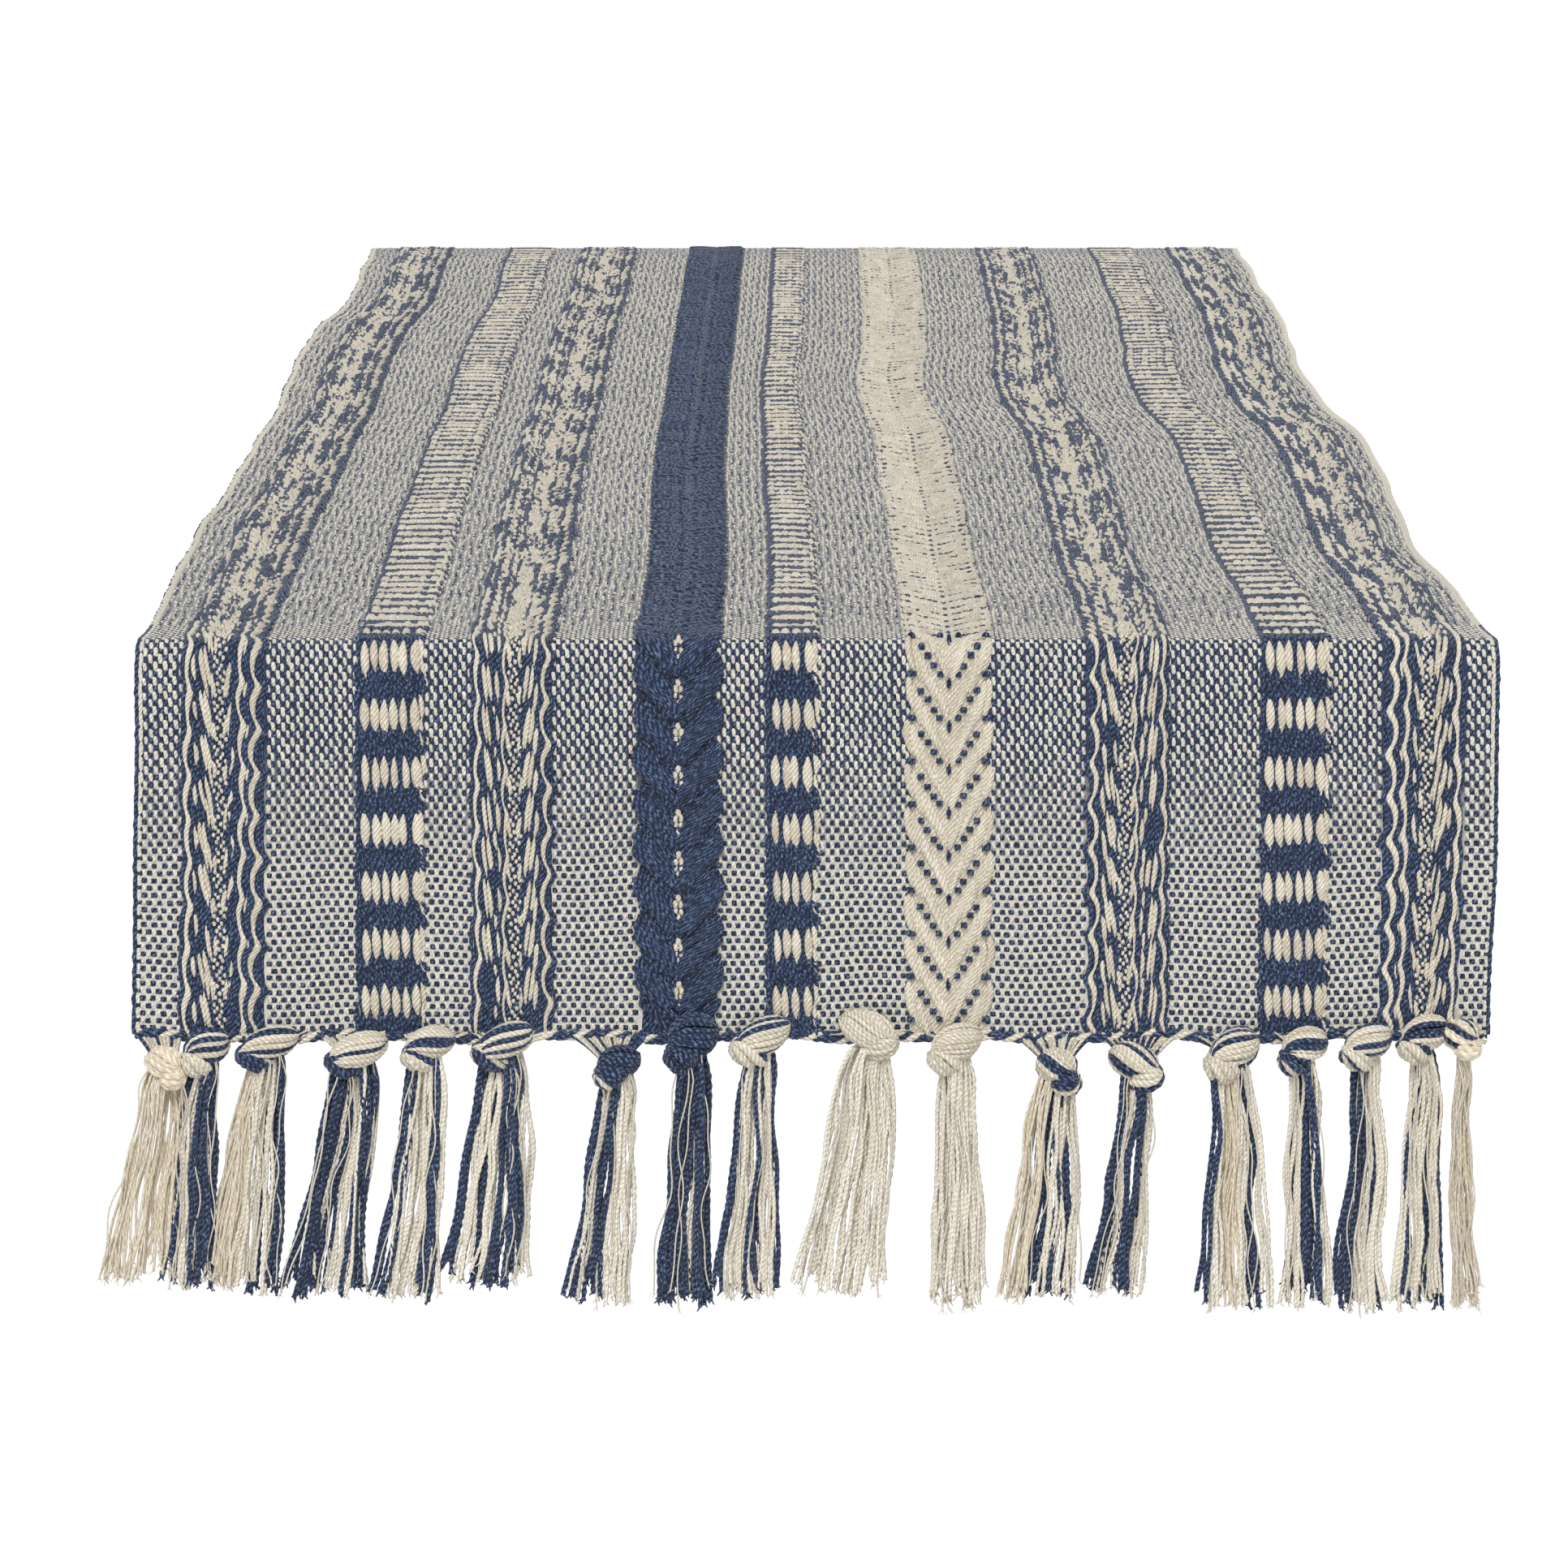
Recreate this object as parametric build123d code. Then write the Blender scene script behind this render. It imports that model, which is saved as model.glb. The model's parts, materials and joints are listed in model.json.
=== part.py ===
from build123d import *
import math
import os
from collections import namedtuple

# A woven cotton table runner, draped over the two ends of a table top.
# Units are millimetres. X runs across the runner, Y along it, Z up.
# The origin is the centre of the underside of the flat part, on the table top.

os.makedirs("parts", exist_ok=True)

# ---------------------------------------------------------------- driving dimensions
RUNNER_WIDTH = 381.0        # selvedge to selvedge, 15 in
RUNNER_LENGTH = 1829.0      # laid flat, tassel tips included, 72 in
WOVEN_END = 111.0           # the woven end hangs this far below the table top
TASSEL_TIPS = 186.0         # average depth of the tassel tips below the table top
CLOTH_THICKNESS = 1.6       # plain-weave ground
BAND_RISE = 1.2             # the pattern bands stand this proud of the ground
BEND_RADIUS = 5.0           # inside radius of the cloth where it turns over the table edge
CLEARANCE = 0.3             # between pieces that move against each other

# ---------------------------------------------------------------- pattern bands
Band = namedtuple("Band", "centre width")
BRAID_BANDS = (Band(-166.5, 22.5), Band(-86.0, 22.5), Band(88.0, 22.5), Band(170.0, 21.5))
BLOCK_BANDS = (Band(-120.5, 18.0), Band(-7.0, 13.5), Band(135.0, 18.0))
NAVY_CHEVRON_BAND = (Band(-39.0, 24.5),)
CREAM_CHEVRON_BAND = (Band(37.5, 24.0),)

# ---------------------------------------------------------------- knots, cord and tassels
KNOT_RADIUS = 5.2           # an overhand knot is a small barrel lying along X
KNOT_ROUNDING = 3.4         # radius of the barrel's rims
KNOT_STANDOFF = 3.0         # knots sit this far outside the middle of the cloth
EDGE_CORD_DIAMETER = 3.0    # twined weft cord under the woven end
SHORTEST_CORD = 3.0         # a shorter stretch of cord than this is hidden by the knots

NECK_SHARE = 0.3            # half width of a tassel's neck, as a share of its knot's width
NECK_THICKNESS = 6.4
WAIST_AT = 0.3              # the bundle has spread this far down its length...
WAIST_SHARE = 0.7           # ...to this share of its width at the tips
WAIST_THICKNESS = 6.0
TIP_THICKNESS = 4.4

# Front tassels, left to right. Each warp bundle was knotted by hand, so no two are alike:
# the knot's place across the cloth, its depth below the table top and its width, then the
# stretch that the tips cover and the tips' depth below the table top.
Tassel = namedtuple("Tassel", "knot_x knot_depth knot_width tip_low tip_high tip_depth")
FRONT_TASSELS = (
    Tassel(-183.5, 121.5, 10.0, -206.0, -186.0, 181.0),
    Tassel(-172.5, 118.0, 11.0, -185.5, -175.0, 184.0),
    Tassel(-155.0, 116.5, 16.0, -174.5, -156.0, 185.0),
    Tassel(-130.0, 118.0, 16.0, -152.5, -129.0, 186.0),
    Tassel(-109.5, 116.5, 14.0, -126.5, -108.0, 187.0),
    Tassel(-88.5, 116.5, 17.0, -106.0, -79.0, 183.0),
    Tassel(-56.0, 121.5, 12.0, -71.5, -49.0, 188.0),
    Tassel(-35.0, 116.5, 14.0, -46.0, -28.5, 188.0),
    Tassel(-15.5, 116.5, 16.0, -28.0, -8.5, 186.5),
    Tassel(15.5, 116.5, 15.0, -8.0, 18.5, 185.0),
    Tassel(39.5, 116.5, 14.0, 32.0, 50.0, 188.5),
    Tassel(69.0, 122.0, 11.0, 50.5, 74.5, 187.0),
    Tassel(91.0, 121.5, 14.0, 77.0, 94.0, 185.0),
    Tassel(118.0, 118.0, 14.0, 109.0, 131.5, 189.0),
    Tassel(138.0, 117.0, 12.5, 132.0, 147.0, 189.0),
    Tassel(156.0, 116.5, 14.0, 147.5, 163.0, 190.0),
    Tassel(172.0, 116.5, 12.0, 163.5, 180.5, 190.0),
    Tassel(183.0, 116.5, 9.0, 181.0, 188.0, 189.0),
)
BACK_SPREAD = 10.0          # most that a back tassel spreads to each side of its knot

# ---------------------------------------------------------------- worked out from those
HALF_WIDTH = RUNNER_WIDTH / 2
BEND_OUTER = BEND_RADIUS + CLOTH_THICKNESS
CLOTH_MIDDLE = BEND_RADIUS + CLOTH_THICKNESS / 2
HANGING = math.pi / 2 * CLOTH_MIDDLE + TASSEL_TIPS - BEND_RADIUS
TOP_LENGTH = RUNNER_LENGTH - 2 * HANGING
FRONT_EDGE = -TOP_LENGTH / 2            # Y of the front bend's axis, which the drop turns about
KNOT_Y = FRONT_EDGE - CLOTH_MIDDLE - KNOT_STANDOFF


def write(name, solids):
    """Writes one node, which holds one solid or a group of separate ones."""
    node = solids[0] if len(solids) == 1 else Compound(children=solids)
    export_step(node, f"parts/{name}.step")


def block(low, high):
    """A rectangular solid between two corners."""
    centre = (Vector(*low) + Vector(*high)) * 0.5
    size = Vector(*high) - Vector(*low)
    return Pos(centre) * Box(size.X, size.Y, size.Z)


def at_back(solids):
    """The same pieces at the far end of the table."""
    return [mirror(solid, about=Plane.XZ) for solid in solids]


# ---------------------------------------------------------------- cloth
def top_cloth():
    return [block((-HALF_WIDTH, FRONT_EDGE, 0), (HALF_WIDTH, -FRONT_EDGE, CLOTH_THICKNESS))]


def front_drop_cloth():
    low = (-HALF_WIDTH, FRONT_EDGE - BEND_OUTER, -WOVEN_END)
    high = (HALF_WIDTH, FRONT_EDGE - BEND_RADIUS, -BEND_RADIUS - CLEARANCE)
    return [block(low, high)]


def quarter_turn(low_x, high_x, inner, outer):
    """A quarter ring over the front table edge, from the flat part down to the drop."""
    width = high_x - low_x
    across = Pos((low_x + high_x) / 2, 0, (inner + outer) / 2) * Rot(90, 0, 0) * Rectangle(width, outer - inner)
    turned = revolve(across, axis=Axis.X, revolution_arc=90)
    return Pos(0, FRONT_EDGE, -BEND_RADIUS) * turned


def front_bend():
    """The ground and each band where they turn over the table edge."""
    strips = [quarter_turn(-HALF_WIDTH, HALF_WIDTH, BEND_RADIUS, BEND_OUTER)]
    for band in BRAID_BANDS + BLOCK_BANDS + NAVY_CHEVRON_BAND + CREAM_CHEVRON_BAND:
        low_x, high_x = sides(band)
        strips.append(quarter_turn(low_x, high_x, BEND_OUTER, BEND_OUTER + BAND_RISE))
    return strips


# ---------------------------------------------------------------- bands
def sides(band):
    return band.centre - band.width / 2, band.centre + band.width / 2


def top_bands(bands):
    """Raised strips lying on the flat part, one for each band."""
    strips = []
    for band in bands:
        low_x, high_x = sides(band)
        low = (low_x, FRONT_EDGE, CLOTH_THICKNESS)
        high = (high_x, -FRONT_EDGE, CLOTH_THICKNESS + BAND_RISE)
        strips.append(block(low, high))
    return strips


def front_bands(bands):
    """The same strips on the outside of the front drop."""
    face = FRONT_EDGE - BEND_OUTER
    strips = []
    for band in bands:
        low_x, high_x = sides(band)
        low = (low_x, face - BAND_RISE, -WOVEN_END)
        high = (high_x, face, -BEND_RADIUS - CLEARANCE)
        strips.append(block(low, high))
    return strips


# ---------------------------------------------------------------- fringe
def knot(tassel):
    """A barrel along X whose rims are rounded. The tassel below it turns about its axis."""
    barrel = Rot(0, 90, 0) * Cylinder(KNOT_RADIUS, tassel.knot_width)
    barrel = fillet(barrel.edges().filter_by(GeomType.CIRCLE), KNOT_ROUNDING)
    return Pos(tassel.knot_x, KNOT_Y, -tassel.knot_depth) * barrel


def edge_cord(tassels):
    """The twined cord under the woven end, in the stretches that show between the knots."""
    ends = [-HALF_WIDTH]
    for tassel in tassels:
        ends.append(tassel.knot_x - tassel.knot_width / 2)
        ends.append(tassel.knot_x + tassel.knot_width / 2)
    ends.append(HALF_WIDTH)
    radius = EDGE_CORD_DIAMETER / 2
    stretches = []
    for start, end in zip(ends[::2], ends[1::2]):
        if end - start < SHORTEST_CORD:
            continue
        stretch = Rot(0, 90, 0) * Cylinder(radius, end - start)
        middle = Pos((start + end) / 2, FRONT_EDGE - CLOTH_MIDDLE, -WOVEN_END - radius)
        stretches.append(middle * stretch)
    return stretches


def tassel_bundle(tassel):
    """A bundle of hanging yarns: narrow under the knot, spreading to its uneven tips."""
    top = -tassel.knot_depth - KNOT_RADIUS - CLEARANCE
    tip_middle = (tassel.tip_low + tassel.tip_high) / 2
    tip_half = (tassel.tip_high - tassel.tip_low) / 2
    lean = tip_middle - tassel.knot_x
    fall = -tassel.tip_depth - top
    sections = (
        (0.0, tassel.knot_width * NECK_SHARE, NECK_THICKNESS),
        (WAIST_AT, tip_half * WAIST_SHARE, WAIST_THICKNESS),
        (1.0, tip_half, TIP_THICKNESS),
    )
    outlines = []
    for share, half_width, thickness in sections:
        middle = Pos(tassel.knot_x + share * lean, KNOT_Y, top + share * fall)
        outlines.append(middle * Ellipse(half_width, thickness / 2))
    return loft(outlines, ruled=True)


def back_tassels():
    """At the back the same warp bundles come out at the same places and hang straight."""
    made = []
    for index, front in enumerate(FRONT_TASSELS):
        low = front.knot_x - BACK_SPREAD
        high = front.knot_x + BACK_SPREAD
        if index > 0:
            before = (FRONT_TASSELS[index - 1].knot_x + front.knot_x) / 2
            low = max(low, before + CLEARANCE)
        if index < len(FRONT_TASSELS) - 1:
            after = (FRONT_TASSELS[index + 1].knot_x + front.knot_x) / 2
            high = min(high, after - CLEARANCE)
        made.append(front._replace(tip_low=low, tip_high=high))
    return made


# ---------------------------------------------------------------- every node
write("top_cloth", top_cloth())
write("front_drop_cloth", front_drop_cloth())
write("back_drop_cloth", at_back(front_drop_cloth()))
write("front_bend", front_bend())
write("back_bend", at_back(front_bend()))

BAND_KINDS = {
    "braid_bands": BRAID_BANDS,
    "block_bands": BLOCK_BANDS,
    "navy_chevron_band": NAVY_CHEVRON_BAND,
    "cream_chevron_band": CREAM_CHEVRON_BAND,
}
for kind, bands in BAND_KINDS.items():
    write(f"top_{kind}", top_bands(bands))
    write(f"front_{kind}", front_bands(bands))
    write(f"back_{kind}", at_back(front_bands(bands)))

BACK_TASSELS = back_tassels()
write("front_knots", [knot(tassel) for tassel in FRONT_TASSELS])
write("back_knots", at_back([knot(tassel) for tassel in BACK_TASSELS]))
write("front_edge_cord", edge_cord(FRONT_TASSELS))
write("back_edge_cord", at_back(edge_cord(BACK_TASSELS)))
for number, tassel in enumerate(FRONT_TASSELS, start=1):
    write(f"front_tassel_{number:02d}", [tassel_bundle(tassel)])
for number, tassel in enumerate(BACK_TASSELS, start=1):
    write(f"back_tassel_{number:02d}", at_back([tassel_bundle(tassel)]))
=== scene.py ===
import json
import math
from collections import namedtuple

import bpy
import numpy as np
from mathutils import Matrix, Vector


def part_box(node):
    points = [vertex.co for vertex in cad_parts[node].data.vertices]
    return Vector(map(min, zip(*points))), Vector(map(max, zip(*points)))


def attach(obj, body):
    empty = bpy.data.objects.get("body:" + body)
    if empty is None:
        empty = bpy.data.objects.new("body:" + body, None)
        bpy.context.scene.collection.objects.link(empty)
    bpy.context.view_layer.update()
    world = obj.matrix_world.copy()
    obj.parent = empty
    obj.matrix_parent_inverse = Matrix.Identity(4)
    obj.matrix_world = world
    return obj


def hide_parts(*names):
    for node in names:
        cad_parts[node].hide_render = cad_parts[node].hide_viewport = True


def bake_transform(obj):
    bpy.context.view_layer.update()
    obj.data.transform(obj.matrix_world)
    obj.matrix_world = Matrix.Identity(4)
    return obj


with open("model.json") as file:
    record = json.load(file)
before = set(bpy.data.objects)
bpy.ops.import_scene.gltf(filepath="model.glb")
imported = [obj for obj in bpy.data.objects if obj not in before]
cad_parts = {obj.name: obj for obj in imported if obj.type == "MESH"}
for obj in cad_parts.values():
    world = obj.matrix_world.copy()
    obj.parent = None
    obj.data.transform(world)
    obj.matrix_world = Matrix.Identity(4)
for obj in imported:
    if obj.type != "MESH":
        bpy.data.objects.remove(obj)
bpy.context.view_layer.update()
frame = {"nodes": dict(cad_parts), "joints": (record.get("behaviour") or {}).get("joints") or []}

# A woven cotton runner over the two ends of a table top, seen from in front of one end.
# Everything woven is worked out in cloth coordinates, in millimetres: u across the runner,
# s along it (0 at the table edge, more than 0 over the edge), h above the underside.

RANDOM = np.random.default_rng(11)
MM = 0.001


def node_box(name):
    """Lowest and highest corner of a CAD node, in millimetres."""
    low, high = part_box(name)
    return np.array(low) / MM, np.array(high) / MM


def strip_sides(name):
    """(centre, width) of each band in a CAD node of separate strips, left to right."""
    mesh = frame["nodes"][name].data
    across = sorted({round(vertex.co.x / MM, 2) for vertex in mesh.vertices})
    return [((low + high) / 2, high - low) for low, high in zip(across[::2], across[1::2])]


# ---- sizes from the CAD model
TOP_HIGH = node_box("top_cloth")[1]
DROP_LOW, DROP_HIGH = node_box("front_drop_cloth")
HALF_WIDTH = TOP_HIGH[0]
TABLE_EDGE = TOP_HIGH[1]  # distance from the middle to the bend's axis
THICKNESS = TOP_HIGH[2]
BEND_RADIUS = -TABLE_EDGE - DROP_HIGH[1]
BEND_LENGTH = math.pi / 2 * (BEND_RADIUS + THICKNESS / 2)
WOVEN_END = -DROP_LOW[2]  # how far the woven end hangs
CLOTH_END = BEND_LENGTH + WOVEN_END - BEND_RADIUS
JOINTS = {joint["name"]: np.array(joint["pos_m"]) / MM for joint in frame["joints"]}
BRAIDS = strip_sides("front_braid_bands")
BLOCKS = strip_sides("front_block_bands")
NAVY_CHEVRON = strip_sides("front_navy_chevron_band")
CREAM_CHEVRON = strip_sides("front_cream_chevron_band")

ENDS = {"front": -1, "back": 1}  # which way along Y each end lies
END_START = -30.0  # the end pieces begin this far in on the table
MIDDLE_START = -2 * TABLE_EDGE - END_START  # s of the table's other end, less the back piece
BACK_END = -2 * TABLE_EDGE - CLOTH_END  # s of the other woven end

# One part of the cloth: the end it is placed from, where it starts and stops along s, and whether
# it is near enough to the camera for the finer yarns.
Part = namedtuple("Part", "end start stop fine")

# ---- how the cloth lies
# How far the cloth strays sideways on the table: places along Y, and the shift there.
STRAY_LEFT = ((-730, 1.2), (-450, -0.7), (-200, 0.8), (-45, 1.3), (200, -2.1), (450, 4.2), (730, 1.5))
STRAY_NAVY = ((-730, 0.5), (-564, 1.5), (-220, -1.4), (152, -0.3), (450, 0.3), (730, 1.1))
STRAY_CREAM = ((-730, 0.3), (-474, -1.0), (-200, -2.4), (50, -8.0), (222, -4.0), (373, -2.2), (730, -1.3))
STRAY_RIGHT = (
    (-730, 0.0), (-500, -5.3), (-200, 0.6), (20, -6.2), (120, -7.5), (222, -3.7), (373, -1.3), (730, -0.8),
)
STRAY_COLUMNS = (
    (-HALF_WIDTH, STRAY_LEFT), (-39.0, STRAY_NAVY), (37.5, STRAY_CREAM), (HALF_WIDTH, STRAY_RIGHT),
)
# How far the sides of the front hanging end stray, (s, shift).
FLARE_LEFT = ((-25, 0), (20, -2.2), (70, -3.6), (145, -3.9))
FLARE_RIGHT = ((-25, 0), (15, 2.2), (60, 2.6), (110, 0.4), (145, -1.2))
RIPPLE = 1.1  # the hanging end's ripples, in and out...
RIPPLE_FROM = 60  # ...full this far down
SWELL = 1.3  # the low waves of the cloth on the table...
SWELL_FADE = 90  # ...which die away this near its edges
PRESSED = 0.6  # how much flatter the bands lie at the far edge...
PRESSED_FROM, PRESSED_OVER = 560, 150  # ...from this far along, over this length
UNPRESSED_DOWN = 20  # ...and until this far down the back
GROUND_TOP = 1.0  # the base cloth's upper face, under the raised yarns


def eased(value, points):
    """Follows the points smoothly, level at each one."""
    places = np.array([point[0] for point in points], float)
    shifts = np.array([point[1] for point in points], float)
    value = np.clip(value, places[0], places[-1])
    after = np.clip(np.searchsorted(places, value), 1, len(places) - 1)
    share = (value - places[after - 1]) / (places[after] - places[after - 1])
    share = share * share * (3 - 2 * share)
    return shifts[after - 1] * (1 - share) + shifts[after] * share


def stray(u, along):
    """Sideways shift of the cloth at u, where along is the world Y of that place."""
    shift = np.zeros(np.shape(u))
    for (low, low_points), (high, high_points) in zip(STRAY_COLUMNS, STRAY_COLUMNS[1:]):
        share = np.clip((u - low) / (high - low), 0, 1)
        here = (u >= low) & (u < high) if high < HALF_WIDTH else u >= low
        here = here | (u < low) if low == -HALF_WIDTH else here
        between = eased(along, low_points) * (1 - share) + eased(along, high_points) * share
        shift = np.where(here, between, shift)
    return shift


def place(u, s, h, end):
    """World points, in millimetres, of places on the cloth."""
    u, s, h = np.broadcast_arrays(np.asarray(u, float), s, h)
    side = ENDS[end]
    over = np.clip(s / BEND_LENGTH, 0, 1) * math.pi / 2
    flat = np.minimum(s, 0)
    hanging = np.maximum(s - BEND_LENGTH, 0)
    along = side * (TABLE_EDGE + flat)
    fade = np.clip(-s / SWELL_FADE, 0, 1) ** 2 * np.clip((s + 2 * TABLE_EDGE) / SWELL_FADE, 0, 1) ** 2
    wave = np.sin(along / 62 + u / 71) * np.sin(along / 113 - u / 54 + 1)
    level = SWELL * fade * (1.2 + wave)
    sway = np.clip(hanging / RIPPLE_FROM, 0, 1) * RIPPLE * (
        np.sin(u / 23 + 0.8 * side) * np.cos(hanging / 60) + 0.5 * np.sin(u / 11 + hanging / 29)
    )
    pressed = PRESSED * np.clip((along - PRESSED_FROM) / PRESSED_OVER, 0, 1)
    pressed = pressed * np.clip(1 - hanging / UNPRESSED_DOWN, 0, 1)
    h = h - pressed * np.maximum(h - GROUND_TOP, 0)
    out = flat + (BEND_RADIUS + h) * np.sin(over) + sway
    up = -BEND_RADIUS + (BEND_RADIUS + h) * np.cos(over) - hanging + level
    near_side = (np.abs(u) / HALF_WIDTH) ** 6
    edge_pull = 0.4 * np.sin(s / 23 + 2) * near_side * np.sign(u)
    if end == "front":
        edge_pull = edge_pull + near_side * np.where(u < 0, eased(s, FLARE_LEFT), eased(s, FLARE_RIGHT))
    return np.stack([u + stray(u, along) + edge_pull, side * (TABLE_EDGE + out), up], axis=-1)


# ---- meshes
class Patches:
    """Grids of quads gathered for one mesh, with their cloth coordinates and yarn tones."""

    def __init__(self):
        self.points, self.faces, self.uvs, self.tones, self.slots = [], [], [], [], []
        self.count = 0

    def add(self, points, uv, tone, closed=False, slot=0):
        """points is (N, K, M, 3): N strips of K rows of M points. closed joins each row's ends."""
        strips, rows, around = points.shape[:3]
        index = np.arange(strips * rows * around).reshape(strips, rows, around) + self.count
        if closed:
            index = np.concatenate([index, index[:, :, :1]], axis=2)
        quads = np.stack(
            [index[:, :-1, :-1], index[:, 1:, :-1], index[:, 1:, 1:], index[:, :-1, 1:]], axis=-1
        ).reshape(-1, 4)
        self.points.append(points.reshape(-1, 3))
        self.faces.append(quads)
        self.uvs.append(np.broadcast_to(uv, points.shape[:3] + (2,)).reshape(-1, 2))
        self.tones.append(np.broadcast_to(np.reshape(tone, (-1, 1, 1)), points.shape[:3]).ravel())
        self.slots.append(np.full(len(quads), slot))
        self.count += points[..., 0].size

    def make(self, name, *materials):
        points = np.concatenate(self.points) * MM
        faces = np.concatenate(self.faces)
        mesh = bpy.data.meshes.new(name)
        mesh.vertices.add(len(points))
        mesh.vertices.foreach_set("co", points.astype(np.float32).ravel())
        mesh.loops.add(faces.size)
        mesh.loops.foreach_set("vertex_index", faces.astype(np.int32).ravel())
        mesh.polygons.add(len(faces))
        mesh.polygons.foreach_set("loop_start", np.arange(0, faces.size, 4, dtype=np.int32))
        mesh.polygons.foreach_set("material_index", np.concatenate(self.slots).astype(np.int32))
        mesh.polygons.foreach_set("use_smooth", np.ones(len(faces), bool))
        uv = np.concatenate(self.uvs)[faces.ravel()]
        mesh.uv_layers.new(name="cloth").data.foreach_set("uv", uv.astype(np.float32).ravel())
        tone = mesh.attributes.new("tone", "FLOAT", "POINT")
        tone.data.foreach_set("value", np.concatenate(self.tones).astype(np.float32))
        for material in materials:
            mesh.materials.append(material)
        mesh.update(calc_edges=True)
        made = bpy.data.objects.new(name, mesh)
        bpy.context.scene.collection.objects.link(made)
        return made


def random(*shape, low=-1.0, high=1.0):
    """Even random numbers, always the same ones from run to run."""
    return RANDOM.uniform(low, high, shape)


def s_from_back(s):
    """s measured from the back edge of the table, of a place whose s is measured from the front."""
    return -2 * TABLE_EDGE - s


def steps(start, stop, pitch):
    """Places along one yarn from start to stop, both ends included, about pitch apart."""
    return np.linspace(start, stop, round((stop - start) / pitch) + 1)[None, :]


def floats(patches, u, s, half, crest, lift, end, sides=5, tone=None, slot=0):
    """Half-round yarns lying on the cloth along the lines u, s, each (N, K). s is from the front
    edge of the table all the way, so the woven pattern runs on from one end to the other."""
    u, s, half, crest = np.broadcast_arrays(u, s, half, crest)
    angle = np.linspace(math.pi, 0, sides)
    across = half[..., None] * np.cos(angle)
    height = lift + crest[..., None] * np.sin(angle)
    hanging_s = s_from_back(s) if end == "back" else s
    points = place(u[..., None] + across, hanging_s[..., None] + 0 * across, height, end)
    start = random(len(u), 1, 1, low=0, high=400)
    uv = np.stack([across * 1.4, s[..., None] + start + 0 * across], axis=-1)
    patches.add(points, uv, random(len(u), low=0, high=1) if tone is None else tone, slot=slot)


# The outline of a short float from end to end: an oval one, and a squarer one.
GRAIN = np.array([-1.0, -0.62, 0.0, 0.62, 1.0])
GRAIN_WIDTHS = {
    "oval": np.array([0.42, 0.92, 1.0, 0.92, 0.42]),
    "square": np.array([0.85, 1.0, 1.0, 1.0, 0.85]),
}
GRAIN_CREST = np.array([0.05, 0.8, 1.0, 0.8, 0.05])
SHORT = np.array([0, 2, 4])  # a coarse grain keeps only these of its rows


def grains(patches, u, s, length, width, crest, lift, part, slant=0.0, sides=5, outline="oval"):
    """Short yarn floats centred at u, s, leaning by slant over their length."""
    rows = slice(None) if part.fine else SHORT
    t = GRAIN[rows]
    u = np.reshape(u, (-1, 1))
    s, length, width, slant = (
        np.broadcast_to(np.reshape(value, (-1, 1)), u.shape) for value in (s, length, width, slant)
    )
    lines_u = u + t * slant / 2
    lines_s = s + t * length / 2
    half = width / 2 * GRAIN_WIDTHS[outline][rows]
    sides = sides if part.fine else 4
    floats(patches, lines_u, lines_s, half, crest * GRAIN_CREST[rows], lift, part.end, sides)


# ---- the ground weave
WARP_PAIR = 2.672  # the reed leaves a gap after every second warp
WARP_IN_PAIR = 1.2
PAIR_GAP = WARP_PAIR - WARP_IN_PAIR
PICK = 2.1  # one weft to the next
CREAM_PICKS_FROM = 52.0  # about here the wefts between the navy ones turn from navy to cream...
LIGHTENING = 36.0  # ...over this length
DASH_CHANCE = 0.62  # share of the navy wefts that show on the table


def warps():
    """u of every ground warp that no band covers, and its number across the cloth."""
    count = int(2 * HALF_WIDTH / WARP_PAIR)
    pair = (np.arange(count) + 0.5) * WARP_PAIR - count * WARP_PAIR / 2
    u = np.stack([pair - WARP_IN_PAIR / 2, pair + WARP_IN_PAIR / 2], axis=1).ravel()
    number = np.arange(len(u))
    free = np.ones(len(u), bool)
    for centre, width in BRAIDS + BLOCKS:
        free &= np.abs(u - centre) > width / 2 + 0.3
    for centre, width in NAVY_CHEVRON + CREAM_CHEVRON:
        free &= np.abs(u - centre) > width / 2 - 1.2
    return u[free], number[free]


def lightness(s):
    """How far, 0 to 1, the ground has changed from navy wefts to cream ones between the navy."""
    return np.clip((s - CREAM_PICKS_FROM) / LIGHTENING + 0.5, 0, 1)


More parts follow.
